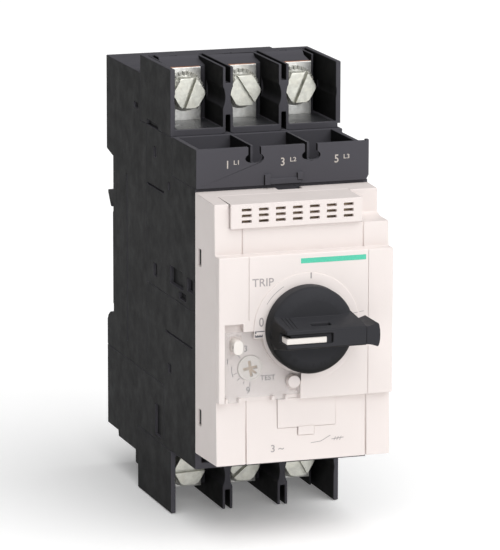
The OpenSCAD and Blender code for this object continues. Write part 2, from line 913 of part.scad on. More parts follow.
module rail_clip_spring() {
    color(steel)
        translate([0, y_at(7.8), clip_spring_z[0]])
            coil(1.7, 0.35, 6, clip_spring_z[1] - clip_spring_z[0]);
}

/* ---- Terminals ---- */

// Hex head with a screwdriver slot, on a threaded shank.
module terminal_screw(z, slot_angle) {
    head = [54, 57.6];
    color(steel)
    difference() {
        union() {
            translate([0, y_at(head[0]), z])
                rotate([90, 0, 0]) cylinder(r = 5.4, h = head[1] - head[0], $fn = 6);
            bar(0, z, [40, head[0] + 0.5], screw_r - 0.15);
        }
        translate([0, y_at(head[1]), z])
            rotate([90, 0, 0])
                rotate([0, 0, slot_angle]) translate([-7, -0.65, -1.3]) cube([14, 1.3, 2]);
    }
}

module washer(z, d, r) {
    color(steel)
    difference() {
        bar(0, z, d, r);
        bar(0, z, [d[0] - 1, d[1] + 1], screw_r + 0.15);
    }
}

module clamp_nut(z) {
    color(steel)
    difference() {
        slab([-5, 5], [45.2, 49.6], [z - 5, z + 5]);
        bar(0, z, [45, 50], screw_r - 0.1);
    }
}

// Each screw's slot was left at its own angle when it was tightened.
module line_terminal_screws() {
    angles = [69, 123, 67];
    for (i = [0 : 2]) translate([poles[i], 0, 0]) terminal_screw(line_screw_z, angles[i]);
}

module load_terminal_screws() {
    angles = [2, 40, 118];
    for (i = [0 : 2]) translate([poles[i], 0, 0]) terminal_screw(load_screw_z, angles[i]);
}

module line_spring_washers() { at_poles() washer(line_screw_z, spring_washer_d, 4.7); }
module line_flat_washers() { at_poles() washer(line_screw_z, flat_washer_d, flat_washer_r); }
module line_clamp_nuts() { at_poles() clamp_nut(line_screw_z); }
module load_spring_washers() { at_poles() washer(load_screw_z, spring_washer_d, 4.7); }
module load_flat_washers() { at_poles() washer(load_screw_z, flat_washer_d, flat_washer_r); }
module load_clamp_nuts() { at_poles() clamp_nut(load_screw_z); }

// Strap under the screw, down through the bay floor, and the fixed contact arm.
module line_conductors() {
    run_z = 40;
    neck_z = shelf_z - wall;
    color(steel)
    at_poles() difference() {
        union() {
            slab([-bar_w / 2, bar_w / 2], [strap_d, strap_d + bar_t], [neck_z, 67.9]);
            side([-arm_w / 2, arm_w / 2], [
                [strap_d, neck_z + 1], [strap_d + bar_t, neck_z + 1],
                [strap_d + bar_t, run_z - bar_t], [contact_d, run_z - bar_t],
                [contact_d, line_contact_z - 3], [contact_d - bar_t, line_contact_z - 3],
                [contact_d - bar_t, run_z], [strap_d, run_z]
            ]);
        }
        bar(0, line_screw_z, [strap_d - 1, strap_d + bar_t + 1], screw_r + 0.15);
    }
}

// Strap under the screw and the run up to the heater.
module load_conductors() {
    run_z = -44;
    end_d = 73;
    neck_z = load_seam_z + wall;
    color(steel)
    at_poles() difference() {
        union() {
            slab([-bar_w / 2, bar_w / 2], [strap_d, strap_d + bar_t], [-65.2, neck_z]);
            side([-arm_w / 2, arm_w / 2], [
                [strap_d, neck_z - 1], [strap_d + bar_t, neck_z - 1],
                [strap_d + bar_t, run_z - bar_t], [end_d, run_z - bar_t],
                [end_d, run_z], [strap_d, run_z]
            ]);
        }
        bar(0, load_screw_z, [strap_d - 1, strap_d + bar_t + 1], screw_r + 0.15);
    }
}

/* ---- Contacts and arc chutes ---- */

module fixed_contact_tips() {
    color(brass)
    at_poles() for (z = [line_contact_z, load_contact_z]) {
        slab([-2.5, 2.5], [contact_d, contact_d + tip_t], [z - 2.5, z + 2.5]);
    }
}

module moving_contact_tips() {
    color(brass)
    at_poles() for (z = [line_contact_z, load_contact_z]) {
        slab([-2.5, 2.5], [bridge_d - tip_t, bridge_d], [z - 2.5, z + 2.5]);
    }
}

module contact_bridges() {
    color(copper)
    at_poles() slab([-3, 3], [bridge_d, bridge_d + bar_t],
                    [load_contact_z - 3, line_contact_z + 3]);
}

// Cross bar with a cage for each bridge and a stem to the mechanism.
module contact_carrier() {
    cage_d = bridge_d - 2;
    spring_d = bridge_d + bar_t + 4.4;
    pin_d = rocker_d + rocker_len * sin(rocker_tilt);
    pin_z = rocker_z + rocker_len * cos(rocker_tilt);
    color(white) {
        slab([-23, 23], [spring_d, spring_d + 5], [carrier_z - 3, carrier_z + 3]);
        at_poles() {
            both_sides() slab([3.3, 4.8], [cage_d, spring_d + 0.5],
                              [carrier_z - 2.5, carrier_z + 2.5]);
            slab([-4.8, 4.8], [cage_d, bridge_d - gap], [carrier_z - 2, carrier_z + 2]);
        }
        difference() {
            slab([-3, 3], [spring_d + 4.5, pin_d + 3.2], [carrier_z - 2.5, carrier_z + 2.5]);
            slab([-4, 4], [pin_d - rocker_pin_r - 0.4, pin_d + rocker_pin_r + 0.4],
                 [carrier_z - 3, pin_z + rocker_pin_r + 0.6]);
        }
    }
}

module contact_springs() {
    color(steel)
    at_poles() forward_coil(0, carrier_z, [bridge_d + bar_t, bridge_d + bar_t + 4.4],
                            2.2, 0.3, 4);
}

module arc_chute_plates() {
    count = 5;
    color(steel)
    at_poles() for (i = [0 : count - 1]) {
        slab([-6.5, 6.5], [22.6 + 2.4 * i, 23.4 + 2.4 * i], [33, 37.4]);
        slab([-6.5, 6.5], [22.6 + 2.4 * i, 23.4 + 2.4 * i], [-2.6, 2]);
    }
}

// Insulating cheeks that hold the splitter plates.
module arc_chute_frames() {
    color([0.75, 0.7, 0.6])
    at_poles() both_sides() for (z = [[33, 37.4], [-2.6, 2]]) {
        slab([6.5, 7.4], [21.4, 35], z);
    }
}

/* ---- Magnetic and thermal trip ---- */

// Arm of the load-side fixed contact, down to the coil.
module coil_leads() {
    color(copper)
    at_poles() side([-3, 3], [
        [contact_d - bar_t, load_contact_z + 3], [contact_d, load_contact_z + 3],
        [contact_d, coil_z + 7.6], [contact_d - bar_t, coil_z + 7.6]
    ]);
}

module magnetic_coils() {
    color(copper)
    at_poles() forward_coil(0, coil_z, [16, 34], 6.1, 1.1, 5);
}

// Steel frame round each coil, with its bored core in the front half.
module magnetic_yokes() {
    z = [coil_z - 8.6, coil_z + 4];
    color(steel)
    at_poles() {
        slab([-7.4, 7.4], [12, 40], [z[0], z[0] + 1.2]);
        slab([-7.4, 7.4], [12, 14], z);
        difference() {
            union() {
                slab([-7.4, 7.4], [38, 40], z);
                bar(0, coil_z, [30, 38.5], 4);
            }
            bar(0, coil_z, [29, 41], 2);
        }
    }
}

// Plunger in the coil's rear half, with a rod forward to the trip bar.
module plungers() {
    color(steel)
    at_poles() {
        bar(0, coil_z, [16, 26], 4.2);
        bar(0, coil_z, [25, 72.9], 1.9);
    }
}

module plunger_springs() {
    color(steel)
    at_poles() forward_coil(0, coil_z, [26, 30], 3, 0.3, 4);
}

// Bimetal strips that bend forward to the trip bar as they warm.
module bimetals() {
    color(brass)
    at_poles() slab([-2.5, 2.5], bimetal_d, [-44, -21.4]);
}

// Resistive ribbon round each bimetal.
module heater_straps() {
    turns = 5;
    pitch = 4;
    color(copper)
    at_poles() for (i = [0 : turns - 1]) translate([0, 0, pitch * i]) {
        difference() {
            slab([-3.4, 3.4], [bimetal_d[0] - 0.8, bimetal_d[1] + 0.8], [-40.5, -38]);
            slab([-2.7, 2.7], [bimetal_d[0] - 0.2, bimetal_d[1] + 0.2], [-41, -37]);
        }
    }
}

module trip_bar() {
    d = [trip_bar_d - 1, trip_bar_d + 1];
    color(white) {
        cross_bar([-24.5, 24.5], trip_bar_d, trip_bar_z, trip_bar_r);
        at_poles() slab([-2, 2], d, [-24.5, trip_bar_z - 1]);
        slab([test_x - 1, test_x + 1], d, [trip_bar_z + 1, -6]);
        slab([6, 7.6], d, [trip_bar_z + 1, -6.8]);
    }
}

/* ---- Mechanism ---- */

module mechanism_frame() {
    cheek_x = [10.2, 11.4];
    frame_z = [-6.5, 26];
    color(steel) {
        difference() {
            both_sides() slab(cheek_x, [60.1, 91], frame_z);
            cross_bar([-12, 12], rocker_d, rocker_z, rocker_pin_r + gap);
            cross_bar([-12, 12], latch_d, latch_z, latch_r + gap);
        }
        difference() {
            slab([-cheek_x[1], cheek_x[1]], [89.8, 91], frame_z);
            bar(0, handle_z, [88, 92], shaft_r + gap);
        }
    }
}

// Crank on the rear end of the handle's shaft.
module toggle_crank() {
    color(steel)
    difference() {
        union() {
            bar(0, handle_z, [80, 84], 6);
            slab([-2, 2], [80, 82], [handle_z, handle_z + 8.5]);
        }
        bar(0, handle_z, [79, 85], shaft_stem_r + 0.02);
    }
}

// Rocker on its own pin: the long arm's pin sits in the carrier's fork.
module toggle_link() {
    color(steel)
    translate([0, y_at(rocker_d), rocker_z]) {
        rotate([0, 90, 0])
            translate([0, 0, -11.4]) cylinder(r = rocker_pin_r, h = 22.8);
        rotate([rocker_tilt, 0, 0]) {
            translate([-2, -1, -6]) cube([4, 2, rocker_len + 6]);
            translate([-2.8, 0, rocker_len])
                rotate([0, 90, 0]) cylinder(r = rocker_pin_r, h = 5.6);
        }
    }
}

module trip_latch() {
    color(steel) {
        slab([5.6, 7.6], [latch_d - 1, latch_d + 1], [-6, 11]);
        cross_bar([5, 11.4], latch_d, latch_z, latch_r);
    }
}

module main_spring() {
    color(steel) translate([-6.5, y_at(75), 0.5]) coil(2.6, 0.45, 7, 21.5);
}

// Long screws that hold the case halves together.
module case_screws() {
    color(steel) {
        at_case_screws([60.05, 62.5], 2);
        at_case_screws([34, 60.1], case_screw_r);
    }
}

rear_base();
load_base();
contact_case();
trip_case();
line_terminal_shroud();
load_terminal_shroud();
label_box();
front_cover();
control_fascia();
aux_slot_cover();
marker_plate();
dial_window();
seal_post();
current_dial();
dial_cam();
rotary_handle();
handle_pointer();
padlock_tongue();
handle_shaft();
test_button();
test_spring();
test_lever();
rail_clip();
rail_clip_spring();
line_terminal_screws();
line_spring_washers();
line_flat_washers();
line_clamp_nuts();
line_conductors();
load_terminal_screws();
load_spring_washers();
load_flat_washers();
load_clamp_nuts();
load_conductors();
fixed_contact_tips();
moving_contact_tips();
contact_bridges();
contact_carrier();
contact_springs();
arc_chute_plates();
arc_chute_frames();
coil_leads();
magnetic_coils();
magnetic_yokes();
plungers();
plunger_springs();
bimetals();
heater_straps();
trip_bar();
trip_latch();
mechanism_frame();
toggle_crank();
toggle_link();
main_spring();
case_screws();
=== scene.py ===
"""Looks of a three-pole motor protection breaker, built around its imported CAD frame."""
import json
import math

import bmesh
import bpy
from mathutils import Matrix, Vector

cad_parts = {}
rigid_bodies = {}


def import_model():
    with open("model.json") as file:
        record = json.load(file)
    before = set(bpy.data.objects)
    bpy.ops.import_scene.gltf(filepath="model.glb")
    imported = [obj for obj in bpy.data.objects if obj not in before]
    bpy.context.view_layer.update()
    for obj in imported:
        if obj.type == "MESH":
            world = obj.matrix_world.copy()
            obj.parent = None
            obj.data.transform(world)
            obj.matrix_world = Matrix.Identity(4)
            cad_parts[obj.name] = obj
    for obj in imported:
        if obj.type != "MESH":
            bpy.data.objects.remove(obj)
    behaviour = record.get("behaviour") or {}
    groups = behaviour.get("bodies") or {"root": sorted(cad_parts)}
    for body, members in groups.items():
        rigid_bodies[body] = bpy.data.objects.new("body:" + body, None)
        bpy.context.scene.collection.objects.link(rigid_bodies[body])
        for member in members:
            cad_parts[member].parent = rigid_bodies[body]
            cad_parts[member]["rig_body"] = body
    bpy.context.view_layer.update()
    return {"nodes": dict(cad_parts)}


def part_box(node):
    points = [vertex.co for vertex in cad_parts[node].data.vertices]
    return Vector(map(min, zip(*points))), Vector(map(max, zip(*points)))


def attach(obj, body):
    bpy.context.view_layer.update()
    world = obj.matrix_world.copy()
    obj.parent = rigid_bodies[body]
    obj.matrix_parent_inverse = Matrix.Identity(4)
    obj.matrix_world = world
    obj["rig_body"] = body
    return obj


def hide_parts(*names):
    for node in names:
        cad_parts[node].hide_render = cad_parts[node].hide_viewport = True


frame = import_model()

MM = 0.001
POLE_PITCH = 18.0
POLES = (-POLE_PITCH, 0.0, POLE_PITCH)
REAR_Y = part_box("rear_base")[1].y


# ---------------------------------------------------------------- places

def at(x, d, z):
    """The point at width x, depth d in front of the rear pads, and height z, all in mm."""
    return Vector((x * MM, REAR_Y - d * MM, z * MM))


def lower_cover_d(z):
    """Depth of the lower cover's front, which leans out a little towards its foot."""
    return COVER_D + 0.1 + LEAN_OUT * (LEAN_TOP_Z - z) / LEAN_H


def width_of(node):
    """Left and right ends of a node, in mm."""
    low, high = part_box(node)
    return low.x / MM, high.x / MM


def depth_of(node):
    """Depths of a node's rear and front faces, in mm."""
    low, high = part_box(node)
    return (REAR_Y - high.y) / MM, (REAR_Y - low.y) / MM


def height_of(node):
    """Lower and upper ends of a node, in mm."""
    low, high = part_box(node)
    return low.z / MM, high.z / MM


RING_T = 0.35
LABEL_STEP = 0.9
POCKET_DEPTH = 2.3
HANDLE_Z = sum(height_of("handle_shaft")) / 2
PLATE_D = depth_of("control_fascia")[1] - RING_T
COVER_D = depth_of("aux_slot_cover")[1]
LABEL_D = depth_of("label_box")[1] - LABEL_STEP
DIAL_X = sum(width_of("current_dial")) / 2
DIAL_Z = sum(height_of("current_dial")) / 2
TEST_X = sum(width_of("test_button")) / 2
TEST_Z = sum(height_of("test_button")) / 2
LINE_Z = sum(height_of("line_clamp_nuts")) / 2
LOAD_Z = sum(height_of("load_clamp_nuts")) / 2
RING_R = 16.6
COLLAR_R = 14.2
PLATE_LOW_Z = height_of("control_fascia")[0]
HINGE_X = (-22.9, -8.2)
HINGE_Z = -22.9
HINGE_D = 115.7
POCKET_D = PLATE_D - POCKET_DEPTH
DIAL_R = 3.9
DIAL_BACK_D = 111
STRAP_D = 52.0
SCREW_R = 5.4
SCREW_HEAD_H = 3.6
SLOT_DEPTH = 1.6
SLOT_HALF = 0.55
SHANK_R = 2.7
SHANK_END_D = 40
CROWN = 1.05
CROWN_SLOPE = 25
TOOTH_R = 6.2
VENT_TOP_Z = 36.3
LEAN_TOP_Z = -23.6
LEAN_H = 19.6
LEAN_OUT = 0.6
INK_T = 0.03


# ---------------------------------------------------------------- materials

class Shader:
    """A material's nodes, with short calls for the ones used here."""

    def __init__(self, name):
        self.material = bpy.data.materials.new(name)
        self.material.use_nodes = True
        self.tree = self.material.node_tree
        self.surface = self.tree.nodes["Principled BSDF"]
        self.place = self.node("ShaderNodeTexCoord").outputs["Object"]

    def node(self, kind, **values):
        """A new node of a kind, with its settings."""
        made = self.tree.nodes.new(kind)
        for key, value in values.items():
            setattr(made, key, value)
        return made

    def link(self, output, target):
        self.tree.links.new(output, target)

    def set(self, **values):
        """Sets the surface's own sockets: set(roughness=0.4, coat_weight=0.1)."""
        for key, value in values.items():
            self.surface.inputs[key.replace("_", " ").title().replace("Ior", "IOR")].default_value = value

    def stretched(self, scale):
        """The object's coordinates, scaled apart on each axis."""
        mapping = self.node("ShaderNodeMapping")
        mapping.inputs["Scale"].default_value = scale
        self.link(self.place, mapping.inputs["Vector"])
        return mapping.outputs["Vector"]

    def noise(self, size_mm, detail=2.0, roughness=0.5, place=None):
        """Noise from 0 to 1 whose lumps are about size_mm across."""
        made = self.node("ShaderNodeTexNoise")
        made.inputs["Scale"].default_value = 1 / (size_mm * MM)
        made.inputs["Detail"].default_value = detail
        made.inputs["Roughness"].default_value = roughness
        self.link(place or self.place, made.inputs["Vector"])
        return made.outputs["Fac"]

    def ramp(self, source, stops):
        """Colour ramp; stops are (position, grey or colour)."""
        made = self.node("ShaderNodeValToRGB")
        points = made.color_ramp.elements
        while len(points) < len(stops):
            points.new(0.5)
        for point, (position, value) in zip(points, stops):
            point.position = position
            point.color = (value,) * 3 + (1,) if isinstance(value, float) else tuple(value) + (1,)
        self.link(source, made.inputs["Fac"])
        return made.outputs["Color"]

    def mix(self, a, b, factor):
        """Colour between a and b; each of the three is an output or a value."""
        made = self.node("ShaderNodeMix", data_type="RGBA")
        for socket, value in ((made.inputs[6], a), (made.inputs[7], b), (made.inputs[0], factor)):
            if isinstance(value, bpy.types.NodeSocket):
                self.link(value, socket)
            elif isinstance(value, (int, float)):
                socket.default_value = value
            else:
                socket.default_value = tuple(value) + (1,)
        return made.outputs[2]

    def facing(self, direction):
        """How far a face looks in a direction, 1 where it looks straight along it."""
        made = self.node("ShaderNodeVectorMath", operation="DOT_PRODUCT")
        self.link(self.node("ShaderNodeNewGeometry").outputs["Normal"], made.inputs[0])
        made.inputs[1].default_value = direction
        return made.outputs["Value"]

    def bump(self, layers):
        """Stacks bumps; layers are (height output, depth in mm)."""
        normal = None
        for height, depth in layers:
            made = self.node("ShaderNodeBump")
            made.inputs["Strength"].default_value = 1.0
            made.inputs["Distance"].default_value = depth * MM
            self.link(height, made.inputs["Height"])
            if normal:
                self.link(normal, made.inputs["Normal"])
            normal = made.outputs["Normal"]
        self.link(normal, self.surface.inputs["Normal"])

    def use(self, **sources):
        """Links outputs to the surface's own sockets."""
        for key, source in sources.items():
            self.link(source, self.surface.inputs[key.replace("_", " ").title()])


def shade(colour, factor):
    """The colour made darker or lighter."""
    return tuple(min(1.0, c * factor) for c in colour)


def moulded_plastic(name, colour, roughness, grain_mm=0.35, grain_depth=0.006, mottle=0.08, dust=0.0,
                    dust_colour=(0.5, 0.49, 0.47), shine=0.5, painted_front_sheen=None):
    """Moulded plastic: eroded grain, slow changes of tone and gloss, and a little dust.

    Faces that look forward and up are given a paler tone, the last argument: a painted highlight standing
    in for the light and sheen those faces catch.
    """
    look = Shader(name)
    slow = look.noise(14, 3.0)
    tone = look.ramp(slow, ((0.3, shade(colour, 1 - mottle)), (0.7, shade(colour, 1 + mottle))))
    if painted_front_sheen:
        # Painted highlight: faces looking forward and up are blended towards the paler tone, by how far
        # they face the front and top lights.
        front_light_facing = look.facing((0, -0.6, 0.8))
        tone = look.mix(tone, painted_front_sheen, look.ramp(front_light_facing, ((0.05, 0.0), (0.62, 1.0))))
    if dust:
        specks = look.ramp(look.noise(3.5, 6.0, 0.75), ((0.52, 0.0), (0.8, dust)))
        tone = look.mix(tone, dust_colour, specks)
    grain = look.noise(grain_mm, 2.0, 0.6)
    gloss = look.ramp(look.noise(5, 4.0, 0.6), ((0.3, roughness - 0.06), (0.7, roughness + 0.08)))
    look.use(base_color=tone, roughness=gloss)
    look.set(specular_ior_level=shine)
    look.bump(((look.noise(6, 2.0), 0.02), (grain, grain_depth)))
    return look.material


def clear_polycarbonate():
    """Thin clear sheet: mostly see-through, with a faint sheen and fine scratches."""
    look = Shader("clear_polycarbonate")
    look.set(base_color=(0.62, 0.60, 0.60, 1), alpha=0.16, ior=1.45)
    scratches = look.noise(2.0, 5.0, 0.7, look.stretched((1, 1, 6)))
    look.use(roughness=look.ramp(scratches, ((0.45, 0.06), (0.75, 0.2))))
    look.bump(((look.noise(5, 2.0), 0.01),))
    return look.material


def plated(name, colour, roughness, stretch=(1, 1, 1), stain=0.25, metallic=1.0):
    """Zinc or tin plate: fine rolling lines, cloudy tone and a few stains."""
    look = Shader(name)
    clouds = look.noise(2.2, 5.0, 0.65)
    stained, bright = shade(colour, 1 - stain), shade(colour, 1.08)
    tone = look.ramp(clouds, ((0.25, stained), (0.6, colour), (0.85, bright)))
    warm = look.ramp(look.noise(4.5, 4.0, 0.6), ((0.5, 0.0), (0.78, 0.35)))
    tone = look.mix(tone, (colour[0] * 0.95, colour[1] * 0.87, colour[2] * 0.72), warm)
    lines = look.noise(0.5, 4.0, 0.7, look.stretched(stretch))
    look.set(metallic=metallic)
    gloss = look.ramp(look.noise(1.3, 5.0, 0.7), ((0.3, roughness - 0.1), (0.72, roughness + 0.16)))
    look.use(base_color=tone, roughness=gloss)
    look.bump(((look.noise(1.2, 3.0), 0.012), (lines, 0.004)))
    return look.material


def turned_plate():
    """Plated screw heads, dull and stained in clouds."""
    look = Shader("plated_screw")
    colour = (0.66, 0.66, 0.60)
    tone = look.ramp(look.noise(2.6, 5.0, 0.7), ((0.3, shade(colour, 0.72)), (0.62, colour)))
    patina = look.ramp(look.noise(3.2, 3.0), ((0.5, 0.0), (0.75, 0.45)))
    tone = look.mix(tone, (0.70, 0.68, 0.58), patina)
    look.set(metallic=1.0)
    look.use(base_color=tone,
             roughness=look.ramp(look.noise(0.9, 5.0, 0.75), ((0.3, 0.26), (0.75, 0.52))))
    look.bump(((look.noise(0.9, 4.0), 0.02), (look.noise(0.25, 2.0), 0.004)))
    return look.material


def bare_metal(name, colour, roughness):
    """Unplated metal, tarnished in patches."""
    look = Shader(name)
    tarnish = look.ramp(look.noise(3.0, 5.0, 0.7), ((0.35, shade(colour, 0.6)), (0.65, colour)))
    look.set(metallic=1.0)
    look.use(base_color=tarnish,
             roughness=look.ramp(look.noise(1.0, 4.0), ((0.3, roughness), (0.7, roughness + 0.2))))
    look.bump(((look.noise(0.4, 3.0), 0.006),))
    return look.material


def fibre():
    """Pressed fibre sheet with drawn-out strands."""
    look = Shader("pressed_fibre")
    strands = look.noise(0.8, 6.0, 0.8, look.stretched((1, 1, 3)))
    look.use(base_color=look.ramp(strands, ((0.3, (0.30, 0.20, 0.12)), (0.7, (0.55, 0.42, 0.28)))))
    look.set(roughness=0.85)
    look.bump(((strands, 0.03),))
    return look.material


def print_ink(name, colour):
    """Pad-printed ink, a little uneven where it lies thin."""
    look = Shader(name)
    tone = look.ramp(look.noise(0.35, 4.0, 0.7), ((0.25, shade(colour, 1.25)), (0.6, colour)))
    look.use(base_color=tone, roughness=look.ramp(look.noise(0.5), ((0.3, 0.4), (0.7, 0.6))))
    look.bump(((look.noise(0.2), 0.003),))
    return look.material


def floor_paint():
    """Pale floor that glows a little, so that it stays bright under the part."""
    look = Shader("pale_floor")
    look.use(base_color=look.ramp(look.noise(90, 2.0), ((0.3, 0.95), (0.7, 0.97))))
    look.set(roughness=0.75, emission_color=(1, 1, 1, 1), emission_strength=0.16)
    look.bump(((look.noise(3, 3.0), 0.01),))
    return look.material


# The black and knob mouldings get a paler tone painted on faces that look forward and up, as a painted
# highlight.
BLACK = moulded_plastic("black_moulding", (0.015, 0.015, 0.0155), 0.5, mottle=0.06, dust=0.006,
                        shine=0.03, painted_front_sheen=(0.074, 0.072, 0.082))
GLOSSY = moulded_plastic("polished_moulding", (0.034, 0.034, 0.038), 0.3, grain_depth=0.002,
                         mottle=0.04, dust=0.01, shine=0.9)
KNOB = moulded_plastic("knob_moulding", (0.012, 0.012, 0.012), 0.42, grain_mm=0.3, mottle=0.1,
                       dust=0.004, shine=0.04, painted_front_sheen=(0.036, 0.036, 0.040))
CREAM = moulded_plastic("cream_moulding", (0.735, 0.672, 0.648), 0.5, grain_depth=0.005,
                        mottle=0.012, shine=0.3)
WHITE = moulded_plastic("white_moulding", (0.72, 0.68, 0.64), 0.4, grain_depth=0.003, mottle=0.02)
CLEAR = clear_polycarbonate()
SCREW = turned_plate()
PLATED = plated("zinc_plate", (0.74, 0.74, 0.71), 0.34)
WASHER = plated("washer_plate", (0.80, 0.80, 0.76), 0.36, metallic=0.6)
TINNED = plated("tinned_bar", (0.66, 0.66, 0.64), 0.36, (0.3, 1, 6), stain=0.3)
COPPER = bare_metal("bare_copper", (0.80, 0.42, 0.28), 0.3)
BRASS = bare_metal("rolled_brass", (0.78, 0.60, 0.32), 0.28)
SILVER = bare_metal("silver_alloy", (0.86, 0.85, 0.82), 0.3)
FIBRE = fibre()
SCALE_INK = print_ink("scale_ink", (0.20, 0.19, 0.19))
GREY_INK = print_ink("grey_ink", (0.34, 0.31, 0.31))
WHITE_INK = print_ink("white_ink", (0.46, 0.42, 0.38))
TEAL_INK = print_ink("teal_ink", (0.070, 0.50, 0.34))
DARK_INK = print_ink("dark_ink", (0.10, 0.10, 0.11))
TAN = moulded_plastic("tan_moulding", (0.56, 0.44, 0.31), 0.5, mottle=0.3)


# ---------------------------------------------------------------- mesh tools

def add_piece(name, mesh, body, material):
    """An object of one material that moves with a body."""
    piece = bpy.data.objects.new(name, mesh)
    bpy.context.scene.collection.objects.link(piece)
    mesh.materials.clear()
    mesh.materials.append(material)
    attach(piece, body)
    return piece


def from_bmesh(name, bm, body, material):
    """A piece from what was built in bm, which is freed."""
    bmesh.ops.recalc_face_normals(bm, faces=bm.faces)
    mesh = bpy.data.meshes.new(name)
    bm.to_mesh(mesh)
    bm.free()
    mesh.shade_smooth()
    return add_piece(name, mesh, body, material)


def round_edges(piece, width, segments=3):
    """Rounds the piece's sharp edges by width mm, and by less where the next edges are close."""
    mesh = piece.data
    bm = bmesh.new()
    bm.from_mesh(mesh)
    weights = bm.edges.layers.float.new("bevel_weight_edge")
    sharp = {
        edge for edge in bm.edges
        if len(edge.link_faces) == 2 and edge.calc_face_angle(0) > math.radians(35)
    }
    real = {edge for edge in bm.edges if edge.calc_face_angle(0) > math.radians(1)}
    for edge in sharp:
        near = min(other.calc_length() for corner in edge.verts
                   for other in corner.link_edges if other in real)
        edge[weights] = min(1.0, 0.42 * near / (width * MM))
    bm.to_mesh(mesh)
    bm.free()
    bevel = piece.modifiers.new("rounded_edges", "BEVEL")
    bevel.width = width * MM
    bevel.segments = segments
    bevel.limit_method = "WEIGHT"
    bevel.use_clamp_overlap = False
    bevel.loop_slide = False
    bevel.miter_outer = "MITER_ARC"
    normals = piece.modifiers.new("flat_normals", "WEIGHTED_NORMAL")
    normals.keep_sharp = True
    normals.weight = 100


def clean_copy(node):
    """The node's solid as a mesh of whole flat faces instead of triangles."""
    bm = bmesh.new()
    bm.from_mesh(frame["nodes"][node].data)
    bmesh.ops.remove_doubles(bm, verts=bm.verts, dist=2e-6)
    bmesh.ops.dissolve_limit(bm, angle_limit=math.radians(0.4), use_dissolve_boundaries=False,
                             verts=bm.verts, edges=bm.edges)
    return bm


def moulding(node, material, edge):
    """A CAD node with its edges rounded by edge mm, standing for the plain one."""
    body = frame["nodes"][node]["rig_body"]
    piece = from_bmesh(node + "_moulding", clean_copy(node), body, material)
    round_edges(piece, edge)
    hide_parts(node)


def finish_node(node, material):
    """A CAD node whose shape is right as it is takes only a material."""
    mesh = frame["nodes"][node].data
    mesh.materials.clear()
    mesh.materials.append(material)


# ---------------------------------------------------------------- pieces

def slab_into(bm, x, d, z):
    """Adds a box between two widths, two depths and two heights, in mm, and gives its corners."""
    low, high = at(x[0], d[1], z[0]), at(x[1], d[0], z[1])
    made = bmesh.ops.create_cube(bm, size=1.0)["verts"]
    for vert in made:
        for axis in range(3):
            vert.co[axis] = low[axis] if vert.co[axis] < 0 else high[axis]
    return made


def turned_into(bm, x, z, profile, steps=64):
    """Adds a solid turned about the depth axis at (x, z); profile lists (radius, depth)."""
    turns = [2 * math.pi * k / steps for k in range(steps)]
    rings = []
    for radius, depth in profile:
        if radius == 0:
            rings.append([bm.verts.new(at(x, depth, z))])
            continue
        rings.append([bm.verts.new(at(x + radius * math.cos(t), depth, z + radius * math.sin(t)))
                      for t in turns])
    for one, two in zip(rings, rings[1:]):
        bridge(bm, one, two)
    if len(rings[0]) > 1 and len(rings[-1]) > 1 and profile[0] != profile[-1]:
        bridge(bm, rings[-1], rings[0])


def bridge(bm, one, two):
    """Joins two rings of points, either of which may be a single point."""
    count = max(len(one), len(two))
    for k in range(count):
        after = (k + 1) % count
        corners = [one[k % len(one)], one[after % len(one)], two[after % len(two)], two[k % len(two)]]
        bm.faces.new(list(dict.fromkeys(corners)))


def hex_head_into(bm, x, z, radius, d):
    """Hexagon head whose front corners are turned down, so that each flat ends in an arc."""
    half_side = math.radians(30)
    flat = radius * math.cos(half_side)
    crown_r = flat * CROWN
    steps = 96
    crown, corner, foot = [], [], []
    for k in range(steps):
        turn = 2 * math.pi * k / steps
        within = (turn + half_side) % (2 * half_side) - half_side
        reach = flat / math.cos(within - math.copysign(half_side, within))
        out = min(radius, reach)
        level = min(crown_r, out - 0.12)
        drop = (out - level) * math.tan(math.radians(CROWN_SLOPE))
        side = (math.cos(turn), math.sin(turn))
        crown.append(bm.verts.new(at(x + level * side[0], d[1], z + level * side[1])))
        corner.append(bm.verts.new(at(x + out * side[0], d[1] - drop, z + out * side[1])))
        foot.append(bm.verts.new(at(x + out * side[0], d[0], z + out * side[1])))
    bm.faces.new(crown)
    bridge(bm, crown, corner)
    bridge(bm, corner, foot)
    bm.faces.new(list(reversed(foot)))


def cut_away(piece, cutter_bm, name):
    """Cuts the shapes in cutter_bm out of the piece, and drops the cutter."""
    bmesh.ops.recalc_face_normals(cutter_bm, faces=cutter_bm.faces)
    mesh = bpy.data.meshes.new(name)
    cutter_bm.to_mesh(mesh)
    cutter_bm.free()
    cutter = bpy.data.objects.new(name, mesh)
    bpy.context.scene.collection.objects.link(cutter)
    cut = piece.modifiers.new("cut", "BOOLEAN")
    cut.operation = "DIFFERENCE"
    cut.solver = "EXACT"
    cut.object = cutter
    graph = bpy.context.evaluated_depsgraph_get()
    shape = bpy.data.meshes.new_from_object(piece.evaluated_get(graph))
    piece.modifiers.clear()
    old = piece.data
    piece.data = shape
    bpy.data.meshes.remove(old)
    bpy.data.objects.remove(cutter)
    bpy.data.meshes.remove(mesh)


def smooth_by_angle(piece, angle):
    """Smooth shading that still breaks at edges sharper than angle degrees."""
    piece.data.shade_smooth()
    piece.data.set_sharp_from_angle(angle=math.radians(angle))


